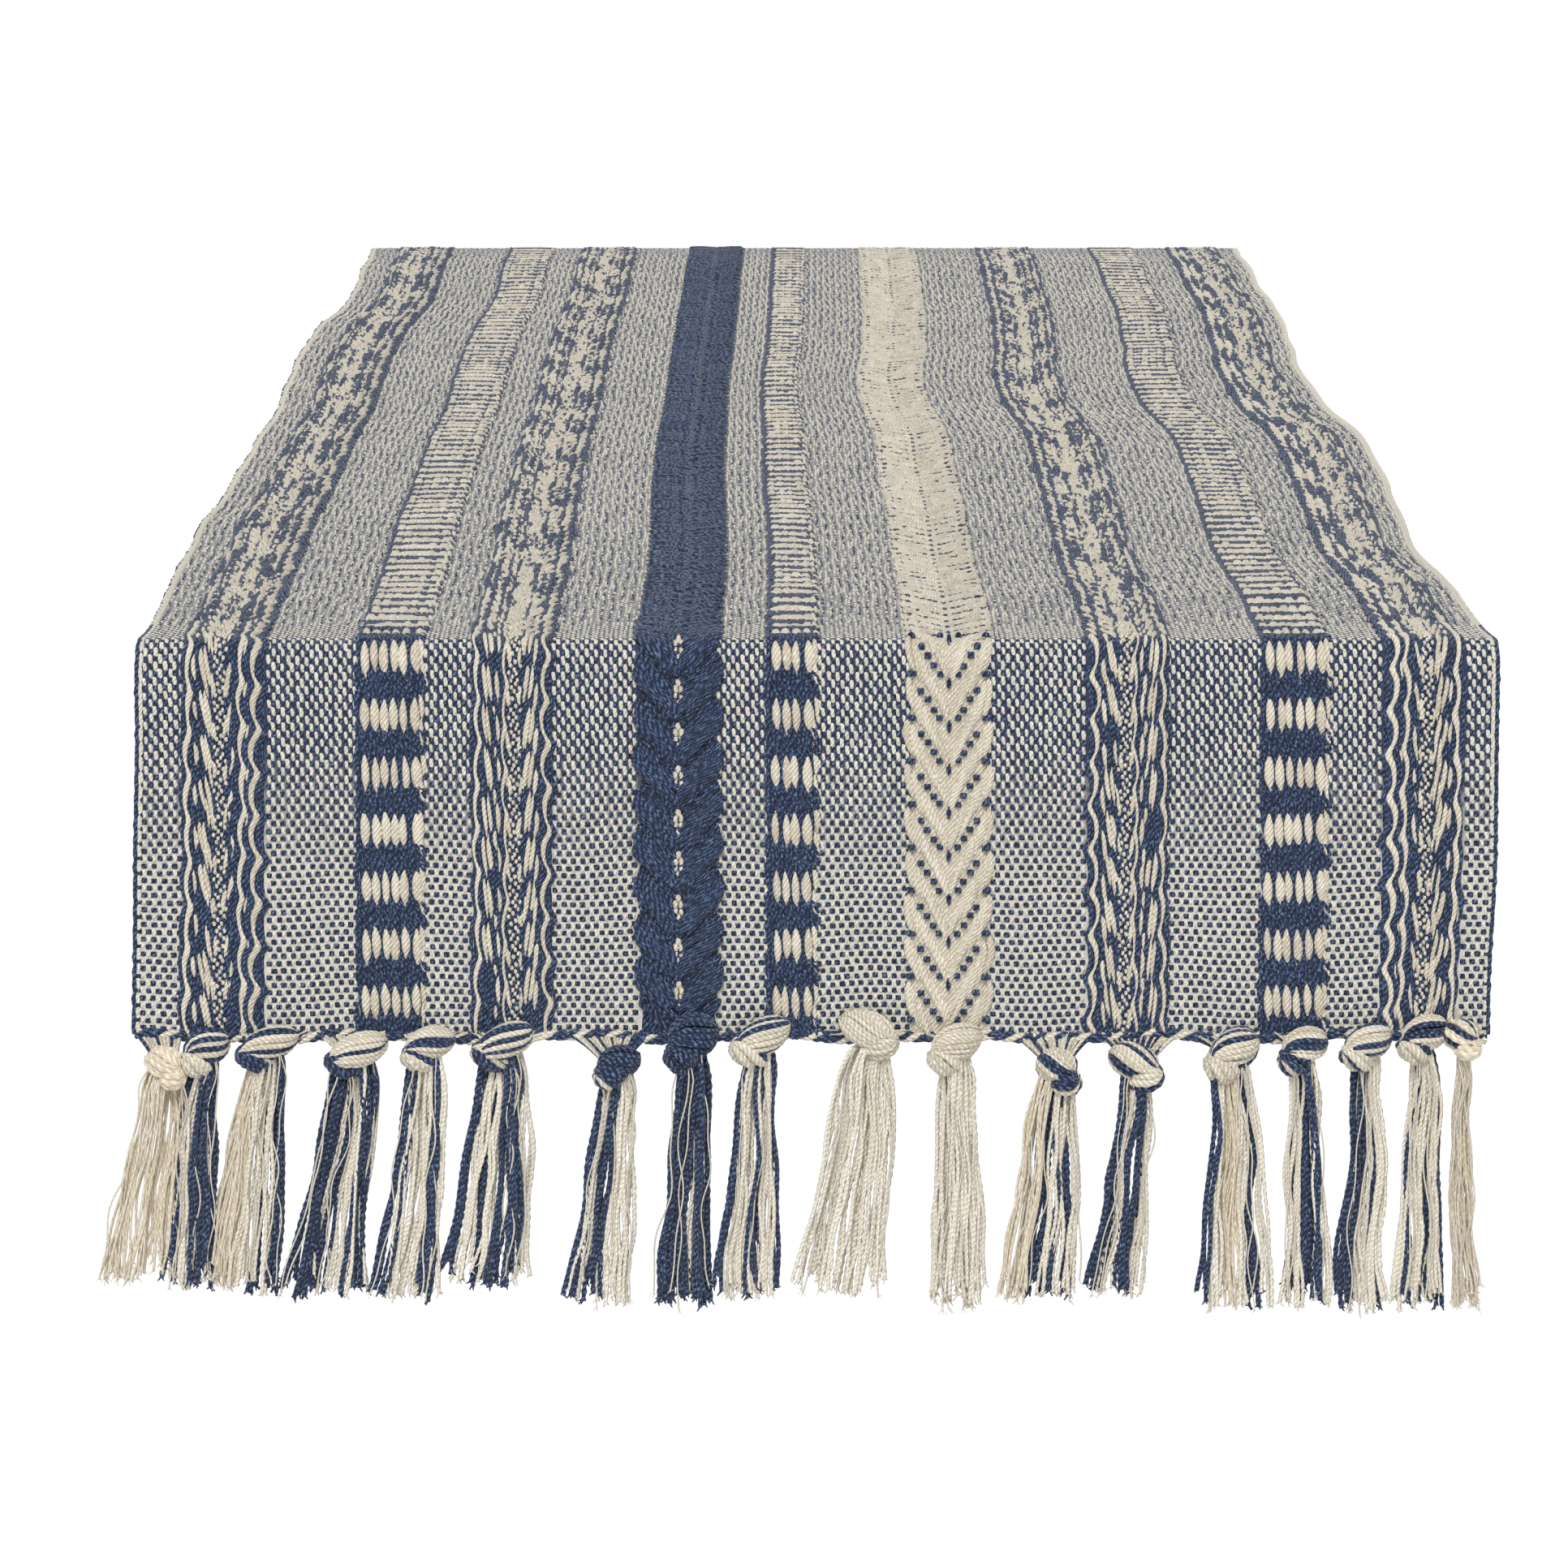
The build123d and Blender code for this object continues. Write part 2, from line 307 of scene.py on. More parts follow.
def ground(name, part):
    """The cream warps where they pass over a weft, the navy wefts that show between them, and the
    yarns along the selvedges."""
    u, number = warps()
    picks = np.arange(math.ceil(part.start / PICK), math.ceil(part.stop / PICK))
    over_u, over_s = np.meshgrid(u, picks * PICK)
    own = 2.3 * number[None, :]
    loose = 1.0 if part.fine else 1.5
    over_u = over_u + loose * (0.13 * np.sin(over_s / 6.5 + own) + 0.1 * np.sin(over_s / 15 + over_u / 9))
    over_s = over_s + 0.35 * np.sin(over_u / 12 + over_s / 37) + 0.2 * np.sin(over_u / 4.7 - over_s / 21)
    parity = (number[None, :] + picks[:, None]) % 2
    warp, weft = Patches(), Patches()
    sunk = GROUND_TOP - 0.15
    chosen = parity == 0
    count = int(chosen.sum())
    s = over_s[chosen] + 0.12 * random(count)
    plump = 1 + 0.14 * random(count)
    lower = lightness(s)
    grains(
        warp, over_u[chosen] + 0.1 * loose * random(count), s, (2.8 - 0.65 * lower) * plump,
        ((1.27 if part.fine else 1.0) - 0.12 * lower) * plump,
        0.62 if part.fine else 0.55 * (1 + 0.6 * random(count, 1)), sunk, part,
        slant=0.25 + 0.15 * random(count),
    )
    line = steps(part.start, part.stop, 2.0)
    for edge in (-HALF_WIDTH, HALF_WIDTH):
        for inset, yarns in ((0.5, weft if part.fine else warp), (1.5, warp)):
            half = 0.62 + 0.15 * np.sin(line * 1.5 + inset)
            selvedge = edge * (1 - inset / HALF_WIDTH) + 0.1 * np.sin(line)
            floats(yarns, selvedge, line, half, 0.6, GROUND_TOP - 0.2, part.end)
    if part.fine:
        chosen = parity == 1
        count = int(chosen.sum())
        s = over_s[chosen] + 0.1 * random(count)
        lower = lightness(s)
        grains(
            weft, over_u[chosen] + 0.06 * random(count), s, 1.75 - 0.1 * lower + 0.15 * random(count),
            1.75 + 0.1 * lower + 0.12 * random(count), 0.5 + 0.2 * lower[:, None], sunk, part,
            outline="square",
        )
    else:
        chosen = (number[None, :] % 2 == 0) & (random(*parity.shape, low=0, high=1) < DASH_CHANCE)
        count = int(chosen.sum())
        grains(
            weft, over_u[chosen] - PAIR_GAP / 2 - WARP_IN_PAIR / 2 + 0.12 * random(count),
            over_s[chosen] + 0.8 * random(count), 2.2 + 1.0 * random(count), 0.9 + 0.35 * random(count),
            0.62 + 0.3 * random(count, 1), sunk, part,
        )
    return [warp.make(f"{name}_ground_warps", GROUND_CREAM), weft.make(f"{name}_ground_wefts", NAVY)]


# ---- band drafts
BRAID_REPEAT = 12.3
BLOCK_REPEAT = 16.4
BED_TOP = 1.75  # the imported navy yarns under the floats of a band
# Places in a braid are from its middle, for a band BRAID_WIDTH wide. A Float is one cream float:
# where it starts and ends, when in the repeat it starts, its length and width. A Wave is a yarn
# that runs on down the band, swinging by its reach once a repeat, with a turn of its own. The
# spine is a column of small cream checks.
BRAID_WIDTH = 23.5
Float = namedtuple("Float", "u_top u_end start length width")
Wave = namedtuple("Wave", "u reach turn width")
Braid = namedtuple("Braid", "spine floats cream navy")
CABLE_BRAID = Braid(
    -1.4,
    (
        Float(-8.5, -8.1, 0.15, 6.8, 1.2), Float(-6.3, -4.7, 0.00, 11.2, 2.2),
        Float(-4.8, -3.9, 0.52, 8.4, 1.6), Float(-3.2, -2.6, 0.64, 6.0, 1.3),
        Float(0.7, 0.0, 0.68, 6.0, 1.2), Float(2.1, 1.3, 0.30, 9.0, 1.3),
        Float(6.6, 6.1, 0.80, 5.0, 0.9),
    ),
    (Wave(-10.3, 0.5, 0.0, 1.6), Wave(4.9, 0.55, 1.2, 1.5), Wave(8.7, 0.95, 0.4, 1.8)),
    (
        Wave(-11.5, 0.4, 0.0, 1.6), Wave(-9.2, 0.4, 0.3, 1.4), Wave(-7.4, 0.5, 0.8, 1.5),
        Wave(-3.3, 0.4, 2.0, 1.3), Wave(1.7, 0.4, 2.6, 1.4), Wave(3.3, 0.5, 1.4, 1.8),
        Wave(6.8, 0.7, 0.8, 1.9), Wave(10.7, 0.85, 0.4, 1.7),
    ),
)
ROPE_BRAID = Braid(
    0.6,
    (
        Float(-7.8, -6.8, 0.05, 12.4, 2.1), Float(-4.4, -4.0, 0.30, 8.4, 1.2),
        Float(-5.4, -5.0, 0.85, 6.0, 1.1), Float(-1.5, -0.9, 0.64, 6.0, 1.2),
        Float(2.7, 2.0, 0.66, 6.0, 1.2), Float(5.6, 4.4, 0.05, 11.6, 2.2),
        Float(7.2, 6.6, 0.50, 8.0, 1.4), Float(3.9, 3.4, 0.45, 7.0, 1.3),
    ),
    (Wave(-10.5, 0.5, 0.5, 1.35), Wave(-2.2, 0.5, 2.6, 1.1), Wave(9.9, 0.9, 0.2, 1.5)),
    (
        Wave(-11.6, 0.4, 0.5, 1.5), Wave(-9.2, 0.5, 0.4, 1.5), Wave(-5.9, 0.5, 0.9, 1.6),
        Wave(-3.3, 0.4, 1.8, 1.4), Wave(2.9, 0.4, 2.2, 1.4), Wave(5.3, 0.6, 1.4, 1.6),
        Wave(8.1, 0.8, 0.5, 1.8), Wave(11.5, 0.7, 0.2, 1.5),
    ),
)
# The draft of each braid from left to right, and which way round it lies.
BRAID_DRAFTS = ((CABLE_BRAID, 1), (ROPE_BRAID, 1), (ROPE_BRAID, -1), (CABLE_BRAID, -1))
FLOATS_SHOWN = 0.92  # this share of a braid's cream floats is there
PLUMP_FLOAT = 1.5  # a float wider than this is two yarns
SPINE_PITCH = 2.1  # between the cream checks of a braid's spine, down it...
SPINE_COLUMN = 1.35  # ...and across it
FLECK_AREA = 60.0  # one stray float of each colour in this much of a braid on the table
BLOCK_CREAM_PITCH = 2.75
BLOCK_CREAM_LENGTH = 10.2
BLOCK_NAVY_LENGTH = 6.6
BLOCK_NAVY_PITCH = 1.3
BLOCK_FROM = 2.5  # s of the top of the first cream block on the hanging end


def repeats(part, float_length, length, phase=0.0):
    """s at the beginning of each repeat whose float starts on the part. At the front woven end
    the float also has to end before it."""
    last = part.stop - float_length if part.stop == CLOTH_END else part.stop
    first = math.ceil((part.start - phase) / length)
    return np.arange(first, math.ceil((last - phase) / length)) * length + phase


def long_floats(
    patches, u_top, u_end, s_top, length, width, crest, lift, part, blunt=1.3, bulge=0.0, tone=None
):
    """Floats of several millimetres: pointed, a little bowed, none quite like the next."""
    rows = 9 if part.fine else 5
    t = np.linspace(0, 1, rows)
    taper = np.clip(np.sin(math.pi * t) * blunt, 0.14, 1) ** 0.8
    count = len(s_top)
    bow = (bulge + 0.4 * random(count, 1)) * np.sin(math.pi * t)
    u = u_top + (u_end - u_top) * t * t * (3 - 2 * t) + 0.25 * random(count, 1) + bow
    s = s_top[:, None] + 0.6 * random(count, 1) + t * length * (1 + 0.09 * random(count, 1))
    half = width / 2 * taper * (1 + 0.16 * random(count, 1))
    height = crest * taper * (1 + (0.25 if part.fine else 0.5) * random(count, 1))
    tones = None if tone is None else tone + 0.1 * random(count)
    floats(patches, u, s, half, height, lift, part.end, sides=6 if part.fine else 4, tone=tones)


def wavy_yarn(patches, centre, side, wave, crest, lift, part, phase):
    """One yarn that runs the length of a braid: thick as it leans, thin as it steps back."""
    s = steps(part.start, part.stop, 1.1 if part.fine else 2.6)
    turn = (s - phase) * 2 * math.pi / BRAID_REPEAT + wave.turn
    turn = turn + 0.5 * np.sin(turn)
    own = 40 * math.sin(7 * wave.u + centre)
    uneven = 0.35 * np.sin(s / 9.3 + own) + 0.22 * np.sin(s / 3.1 + 2 * own)
    u = centre + side * (wave.u + wave.reach * np.cos(turn) + uneven)
    full = 0.96 + 0.34 * np.sin(turn + 0.5) + 0.12 * np.sin(s / 2.3 + 3 * own)
    if not part.fine:
        full = full * (0.9 + 0.35 * np.sin(s / 19 + 5 * own) + 0.25 * np.sin(s / 7.7 + 9 * own))
    full[:, (0, -1)] *= 0.3  # each end is tucked down, so it doesn't show as open
    floats(patches, u, s, wave.width / 2 * full, crest * full, lift, part.end, sides=6 if part.fine else 4)


def bed(patches, centre, width, part):
    """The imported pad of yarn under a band, with slightly scalloped sides."""
    s = steps(part.start, part.stop, 3.0)
    half = width / 2 * (1 + 0.02 * np.sin(s * 2 * math.pi / BRAID_REPEAT))
    lift = GROUND_TOP - 0.1
    dark = np.array([0.2])
    floats(patches, centre + 0 * s, s, half, BED_TOP - GROUND_TOP, lift, part.end, sides=9, tone=dark)


def braid_floats(cream, centre, scale, floats_drawn, part, phase):
    """The cream floats of a braid. A plump one is two yarns side by side."""
    for one in floats_drawn:
        s_top = repeats(part, one.length, BRAID_REPEAT, phase + one.start * BRAID_REPEAT)
        s_top = s_top[random(len(s_top), low=0, high=1) < FLOATS_SHOWN]
        double = one.width > PLUMP_FLOAT
        width = one.width * (0.6 if double else 1.0)
        for beside in (-0.28, 0.28) if double else (0.0,):
            shift = centre + beside * one.width
            long_floats(
                cream, shift + scale * one.u_top, shift + scale * one.u_end, s_top + 1.2 * beside,
                one.length, width, 0.5 + 0.3 * one.width, BED_TOP - 0.15, part,
            )


def braid_spine(cream, centre, scale, spine, part, phase):
    """Three columns of small cream checks that sway and spread once a repeat."""
    checks = np.arange(part.start, part.stop, SPINE_PITCH)
    for column, across in enumerate((-SPINE_COLUMN, 0.0, SPINE_COLUMN)):
        s = checks + SPINE_PITCH / 2 * (column % 2) + 0.1 * random(len(checks))
        full = 0.5 + 0.5 * np.cos((s - phase) * 2 * math.pi / BRAID_REPEAT)
        sway = 0.5 * np.sin((s - phase) * 4 * math.pi / BRAID_REPEAT)
        u = centre + scale * (spine + sway + across * (0.75 + 0.4 * full)) + 0.1 * random(len(s))
        grains(cream, u, s, SPINE_PITCH * 0.62, 0.85 + 0.2 * full, 0.75, BED_TOP - 0.1, part, sides=4)


def braid_flecks(cream, navy, centre, width, side, part):
    """Stray long floats of both colours, which break up a braid away from the camera."""
    count = int((part.stop - part.start) * width / FLECK_AREA)
    for yarns, crest in ((navy, 1.4), (cream, 1.3)):
        u = centre + 0.36 * width * random(count) - 0.05 * side * width
        s = random(count, low=part.start, high=part.stop)
        length = 14.0 + 6.0 * random(count)
        grains(yarns, u, s, length, 1.5, crest, BED_TOP - 0.3, part, slant=random(count))


def braid_band(cream, navy, centre, width, part):
    """A cable of wavy navy and cream yarns and floats, with a checked cream spine."""
    draft, side = BRAID_DRAFTS[BRAIDS.index((centre, width))]
    bed(navy, centre, width, part)
    phase = 3.0 * side + centre % 7
    scale = side * width / BRAID_WIDTH
    bold = 0.9 if part.fine else 1.35
    for yarns, waves, crest, sunk in ((navy, draft.navy, bold, 0.45), (cream, draft.cream, 1.0, 0.25)):
        for wave in waves:
            wavy_yarn(yarns, centre, scale, wave, crest, BED_TOP - sunk, part, phase)
    braid_floats(cream, centre, scale, draft.floats, part, phase)
    braid_spine(cream, centre, scale, draft.spine, part, phase)
    if not part.fine:
        braid_flecks(cream, navy, centre, width, side, part)


def cream_blocks(cream, centre, width, part):
    """Blocks of plump cream floats side by side. Where they are coarse a pad fills out each."""
    count = int(round(width / BLOCK_CREAM_PITCH - 0.6))
    tops = repeats(part, BLOCK_CREAM_LENGTH, BLOCK_REPEAT, BLOCK_FROM)
    crest, blunt, wider = (1.4, 1.1, 0.0) if part.fine else (0.95, 2.0, 0.5)
    for index in range(count):
        last = index == count - 1
        u = centre + (index - (count - 1) / 2) * BLOCK_CREAM_PITCH - 0.3 + (0.7 if last else 0)
        float_width = (2.8 if last else 2.5) + wider
        long_floats(
            cream, u, u + 0.3, tops, BLOCK_CREAM_LENGTH, float_width, crest, BED_TOP - 0.35, part,
            blunt=blunt,
        )
    if not part.fine:
        long_floats(
            cream, centre - 0.1, centre + 0.2, tops + 2.2, BLOCK_CREAM_LENGTH - 4.2, width - 2.0,
            0.8, BED_TOP - 0.3, part, blunt=5.0,
        )


def navy_blocks(navy, centre, width, part):
    """Blocks of short navy floats in slanting rows, packed like twill."""
    tops = repeats(part, 2.0, BLOCK_REPEAT, BLOCK_FROM + BLOCK_CREAM_LENGTH - 1.2)
    columns = int(width / BLOCK_NAVY_PITCH)
    rows, crest = (5, 0.85) if part.fine else (2, 0.65)
    row_length = (BLOCK_NAVY_LENGTH + 0.8) / rows
    for row in range(rows):
        u = centre + (np.arange(columns) - (columns - 1) / 2) * (width + 1.4) / columns
        grid_u, grid_s = np.meshgrid(u + 0.45 * (row % 2), tops + (row + 0.5) * row_length)
        keep = grid_s < part.stop
        count = int(keep.sum())
        grains(
            navy, grid_u[keep] + 0.2 * random(count), grid_s[keep] + 0.3 * random(count),
            row_length * 1.7, 1.5, crest * (1 + 0.25 * random(count, 1)), BED_TOP - 0.3, part,
            slant=1.1, sides=4,
        )


def block_band(cream, navy, centre, width, part):
    """Cream blocks and navy blocks in turn, with a navy yarn down one side and a cream one down
    the other."""
    bed(navy, centre, width, part)
    cream_blocks(cream, centre, width, part)
    navy_blocks(navy, centre, width, part)
    for edge, yarns in ((-width / 2, navy), (width / 2, cream)):
        tops = repeats(part, BLOCK_REPEAT / 2, BLOCK_REPEAT / 2)
        long_floats(
            yarns, centre + edge - 0.3, centre + edge + 0.2, tops, BLOCK_REPEAT * 0.55,
            1.5, 0.9, BED_TOP - 0.6, part,
        )


CREAM_STRANDS = 9  # yarns side by side in one arm of the cream chevron
CREAM_CHEVRON_REACH = 11.6  # half the width of the band that its sizes are given for
# The navy dots of one arm: how far out from the middle of the band, and how far down.
CREAM_DOTS = ((10.2, 0.0), (7.6, 4.7), (5.8, 7.3), (4.1, 10.0), (2.5, 12.3))
DOTS_OUT = 10.2
DOTS_SLOPE = 7.7  # the dots run in this far in one repeat


def cream_chevron_band(cream, navy, centre, width, part):
    """Puffy cream arms slanting down to the middle, a line of navy dots between one and the next."""
    bed(cream, centre, width - 1.6, part)
    scale = width / 2 / CREAM_CHEVRON_REACH
    for side in (-1, 1):
        for index in range(CREAM_STRANDS):
            out = 1.0 + (index + 0.5) * (CREAM_CHEVRON_REACH - 1.9) / CREAM_STRANDS
            inward = 1 - out / CREAM_CHEVRON_REACH
            down = (DOTS_OUT - out) * BRAID_REPEAT / DOTS_SLOPE
            lean = 0.6 + 4.8 * inward
            tops = repeats(part, 10.4, BRAID_REPEAT, down + 0.5)
            u_end = max(0.35 if part.fine else -0.7, out - 0.6 * lean)
            long_floats(
                cream, centre + side * (out + 0.5 * lean) * scale, centre + side * u_end * scale, tops,
                11.4 + 1.4 * inward, 2.1, 1.15, BED_TOP - 0.4, part, blunt=2.0,
                bulge=side * (1.1 if index == CREAM_STRANDS - 1 else 0.3),
            )
        for out, down in CREAM_DOTS:
            dots = repeats(part, 1.5, BRAID_REPEAT, down)
            grains(
                navy, centre + side * out * scale + 0.15 * random(len(dots)),
                dots + 0.2 * random(len(dots)), 1.75, 2.5 if out == DOTS_OUT else 2.0,
                np.where(dots < 0, 0.6, 1.6)[:, None], BED_TOP - 0.2, part, outline="square",
            )
    lozenges(navy, centre, 0.6, part, BRAID_REPEAT + 2.4)


NAVY_STRANDS = 8  # yarns side by side in one lobe of the navy chevron


def navy_chevron_band(navy, cream, centre, width, part):
    """A cable of fuzzy navy lobes slanting down to the middle, whose ends scallop its sides."""
    bed(navy, centre, width - 3.2, part)
    for side in (-1, 1):
        for index in range(NAVY_STRANDS):
            # middle sets the lift and the tone: the yarns at the sides of a lobe are darker, painted shade
            # in the valleys between the lobes
            middle = math.sin(math.pi * (index + 0.5) / NAVY_STRANDS)
            tops = repeats(part, 9.0, BRAID_REPEAT, index * BRAID_REPEAT / NAVY_STRANDS - 7.5)
            outer = width / 2 - 2.4 + 2.4 * middle
            lift = BED_TOP - 1.3 + 2.1 * middle
            inner = 0.3 if part.fine else -0.8
            for u_top, u_end, down in ((outer, inner, 0.0), (0.8 * outer, 0.25 * outer, 1.0)):
                long_floats(
                    navy, centre + side * u_top, centre + side * u_end, tops + down,
                    12.5 - 1.9 * down, 2.6, 0.9, lift, part, blunt=3.0, tone=1.4 * middle - 0.7,
                )
    lozenges(cream, centre, 1.3 if part.fine else 0.55, part, 5.0)


# The grains of a lozenge: how far across from its middle, and how far down.
DIAMOND = ((0, -1.9), (-0.6, -0.5), (0.6, -0.5), (-0.6, 0.9), (0.6, 0.9), (0, 2.2))


def lozenges(yarns, centre, size, part, phase):
    """A small diamond of grains in the middle of each repeat of a chevron."""
    middles = repeats(part, 4.0, BRAID_REPEAT, phase)
    for across, down in DIAMOND:
        s = middles + down * size
        grains(
            yarns, centre + across * size + 0.1 * random(len(s)), s + 0.15 * random(len(s)),
            1.9 * size, 1.2 * size, np.where(s < 0, 0.4, 1.6)[:, None], BED_TOP - 0.05, part, sides=4,
        )


def bands(name, part):
    """Every raised band of one part of the cloth: for each kind, the meshes of its two colours."""
    kinds = (
        ("braid", BRAIDS, braid_band, ("cream", CREAM), ("navy", NAVY)),
        ("block", BLOCKS, block_band, ("cream", CREAM), ("navy", NAVY)),
        ("navy_chevron", NAVY_CHEVRON, navy_chevron_band, ("floats", NAVY), ("lozenges", CREAM)),
        ("cream_chevron", CREAM_CHEVRON, cream_chevron_band, ("floats", CREAM), ("dots", NAVY)),
    )
    made = {}
    for kind, strips, build, *colours in kinds:
        yarns = [Patches() for _ in colours]
        for centre, width in strips:
            build(*yarns, centre, width, part)
        made[kind] = [
            patches.make(f"{name}_{kind}_{word}", material)
            for patches, (word, material) in zip(yarns, colours)
        ]
    return made


# ---- the base cloth
def base_cloth(name, end, start, stop):
    """The cloth under the raised yarns: one closed sheet, GROUND_TOP thick."""
    over = np.arange(0, BEND_LENGTH, 1.1)
    below = np.arange(BEND_LENGTH, stop, 2.5)
    flat = np.arange(start, min(stop, 0), 5.0)
    s = np.unique(np.round(np.concatenate([flat, over[over < stop], below, [stop]]), 3))
    u = np.linspace(-HALF_WIDTH, HALF_WIDTH, 140)
    grid_s, grid_u = np.meshgrid(s, u, indexing="ij")
    points = place(grid_u, grid_s, GROUND_TOP, end)[None]
    pattern_s = s_from_back(grid_s) if end == "back" else grid_s
    uv = np.stack([grid_u, pattern_s], axis=-1)[None]
    flip = slice(None, None, -1) if end == "back" else slice(None)
    patches = Patches()
    patches.add(points[:, :, flip], uv[:, :, flip], np.array([0.5]))
    cloth = patches.make(name, CLOTH, REVERSE)
    solid = cloth.modifiers.new("thickness", "SOLIDIFY")
    solid.material_offset = 1
    solid.thickness = GROUND_TOP * MM
    solid.offset = -1
    bpy.context.view_layer.update()
    thick = bpy.data.meshes.new_from_object(cloth.evaluated_get(bpy.context.evaluated_depsgraph_get()))
    cloth.modifiers.clear()
    cloth.data = thick
    return cloth


# ---- round yarns in space
ACROSS = (0.13, 0.99, 0.05)  # a direction that no hanging yarn runs along


def tubes(patches, lines, radius, sides=6, twist=0.0, lobes=0.0, slot=0, across=ACROSS):
    """Yarns along lines (N, K, 3) in millimetres. lobes makes the section two-ply, turning by
    twist. across is a direction that none of the lines runs along."""
    ahead = np.gradient(lines, axis=1)
    ahead /= np.linalg.norm(ahead, axis=-1, keepdims=True) + 1e-9
    side = np.cross(ahead, np.array(across))
    side /= np.linalg.norm(side, axis=-1, keepdims=True) + 1e-9
    up = np.cross(side, ahead)
    step = np.linalg.norm(np.diff(lines, axis=1), axis=-1)
    along = np.concatenate([np.zeros((len(lines), 1)), np.cumsum(step, axis=1)], axis=1)
    angle = np.linspace(0, 2 * math.pi, sides, endpoint=False)
    turn = along[..., None] * twist + random(len(lines), 1, 1, low=0, high=6)
    swell = 1 + lobes * np.cos(2 * (angle - turn))
    radius = np.broadcast_to(radius, lines.shape[:2])[..., None] * swell
    points = (
        lines[:, :, None]
        + (radius * np.cos(angle))[..., None] * side[:, :, None]
        + (radius * np.sin(angle))[..., None] * up[:, :, None]
    )
    start = random(len(lines), 1, 1, low=0, high=400)
    uv = np.stack(np.broadcast_arrays(angle * radius.mean(), along[..., None] + start), axis=-1)
    patches.add(points, uv, random(len(lines), low=0, high=1), closed=True, slot=slot)


# ---- knots and tassels
YARN_SLOTS = {"C": 0, "N": 1, "S": 2}  # cream two-ply, navy two-ply, silky cream
YARN_RADIUS = {"C": 0.55, "N": 0.70, "S": 0.40}
YARNS_PER_LETTER = {"C": 4, "N": 3, "S": 7}
# How each front tassel looks, left to right: its knot's width and height, how far the knot
# sits above its hinge, its tilt, the yarns round its upper and lower lobes, and the yarns
# hanging below it, left to right.
Look = namedtuple("Look", "width height lift tilt upper lower yarns")
FRONT_LOOKS = (
    Look(10.5, 11.5, 0.0, -10, "SSSSSS", "SSS", "SSSSSS"),
    Look(13.0, 12.5, 0.8, 20, "NCNNCN", "CCC", "NNCCNNNCN"),
    Look(17.0, 11.0, 0.4, 14, "CCNCNC", "CNN", "SSSSCCNCNN"),
    Look(17.0, 11.5, 0.0, 18, "CCCNCC", "NNNN", "NNNCNCCNNC"),
    Look(14.0, 11.5, 0.6, 12, "CNCNCC", "NCC", "NNCCCCCNNC"),
    Look(17.5, 12.0, 0.8, 22, "CNNCNC", "CNCN", "NCCNCCNNCNC"),
    Look(12.0, 11.5, 0.3, 10, "NNNNNN", "NCN", "NCNNCCCC"),
    Look(14.0, 16.0, 2.0, 16, "NNNNNNN", "NNNN", "NNNNNNCNNNN"),
    Look(17.0, 12.5, 2.4, 24, "CCNCCN", "NCC", "NCCCCNNCCN"),
    Look(16.0, 13.0, 4.4, -18, "CCCCCCC", "CCCC", "CCCCCCCCC"),
    Look(14.5, 13.5, 0.4, 20, "CCCCCCC", "CCCC", "CCCCCCCCC"),
    Look(11.0, 12.5, -0.6, -12, "CNCNCC", "NCN", "SSSNNCNCNC"),
    Look(14.5, 12.5, 0.2, -16, "NCCCNC", "CNC", "NNCCNNNCC"),
    Look(14.6, 14.0, 0.0, 26, "CCNCCN", "CCC", "NCSSSCNNC"),
    Look(12.8, 12.5, 0.4, 14, "CNCNCC", "NCN", "CNCNNNNCC"),
    Look(14.0, 11.5, 0.8, 20, "NCCNCC", "CNC", "NCNCCNCC"),
    Look(13.5, 12.0, 3.4, 18, "CNCNCN", "NCC", "CCNCCNCCN"),
    Look(9.5, 10.5, 3.2, -8, "NCSSS", "SSS", "SSSSSS"),
)
TASSELS = len(FRONT_LOOKS)
BACK_LOOKS = tuple(FRONT_LOOKS[(index * 5 + 2) % TASSELS] for index in range(TASSELS))


def knot(patches, look, centre, side, fine):
    """An overhand knot drawn tight: a large lobe wrapped across a smaller one."""
    way = math.copysign(1, look.tilt)
    width, height = look.width, look.height
    across = np.array([width, 1.0, height])
    lower = centre + np.array([-0.19 * way, side * 1.1, -0.2]) * across + (0, 0, look.lift + 1.2)
    upper = centre + np.array([0.05 * way, side * 0.4, 0.15]) * across + (0, 0, look.lift + 1.2)
    lobe(patches, look.lower, lower, (0.36 * width, 3.9, 0.28 * height), -1.2 * look.tilt, 25 * way, fine)
    lobe(patches, look.upper, upper, (0.54 * width, 4.8, 0.38 * height), look.tilt, 22 * way, fine)


def lobe(patches, letters, middle, half, tilt, yaw, fine):
    """A skein of parallel yarns: they fan out over its middle and close up at its two ends."""
    theta = np.linspace(0.04, math.pi - 0.04, 26 if fine else 12)
    tilt, yaw = math.radians(tilt), math.radians(yaw)
    count = len(letters) * (3 if fine else 2)
    spacing = 2 * math.pi / count
    for index in range(count):
        letter = letters[(index * 5 // 3) % len(letters)]
        turn = index * spacing + 0.3 * spacing * float(random()) + 0.5 * np.cos(theta)
        out = 0.92 + 0.05 * float(random())
        x = half[0] * np.cos(theta) * out
        y = half[1] * np.sin(theta) * np.cos(turn) * out
        z = half[2] * np.sin(theta) * np.sin(turn) * out
        x, z = x * math.cos(tilt) - z * math.sin(tilt), x * math.sin(tilt) + z * math.cos(tilt)
        x, y = x * math.cos(yaw) - y * math.sin(yaw), x * math.sin(yaw) + y * math.cos(yaw)
        outward = np.stack([x, y, z], axis=-1)
        radius = spacing * (half[1] + half[2]) / 4 * (0.35 + 0.75 * np.sin(theta))
        radius = radius * (1 + 0.12 * float(random()))
        tubes(
            patches, (middle + outward)[None], radius[None], sides=8 if fine else 5, twist=1.3, lobes=0.1,
            slot=YARN_SLOTS[letter], across=outward,
        )


